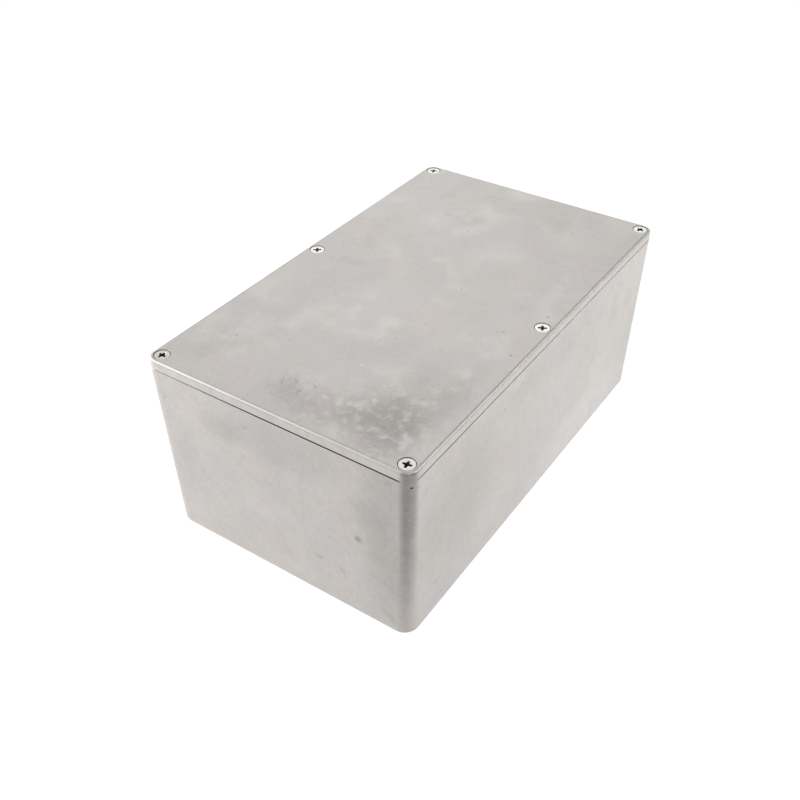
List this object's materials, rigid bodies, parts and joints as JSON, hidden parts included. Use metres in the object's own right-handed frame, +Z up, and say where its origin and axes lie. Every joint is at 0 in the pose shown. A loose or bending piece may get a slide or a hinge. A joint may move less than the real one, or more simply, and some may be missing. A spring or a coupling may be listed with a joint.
{
  "type": "die cast aluminium box",
  "caption": "Rectangular die cast aluminium enclosure with drafted walls, round corners and a screwed lid, undrilled.",
  "frame": {"origin": "centre of the underside, on the surface that the box stands on", "axes": "+X along the length, +Y along the width, +Z up through the lid"},
  "size_m": [0.25, 0.15, 0.106],
  "materials": {
    "cast_aluminium": "bare as-cast aluminium, satin, mottled",
    "plated_steel": "bright zinc plating"
  },
  "bodies": {
    "root": {"base": "cast_aluminium", "lid": "cast_aluminium", "lid_screws": "plated_steel"}
  },
  "joints": []
}
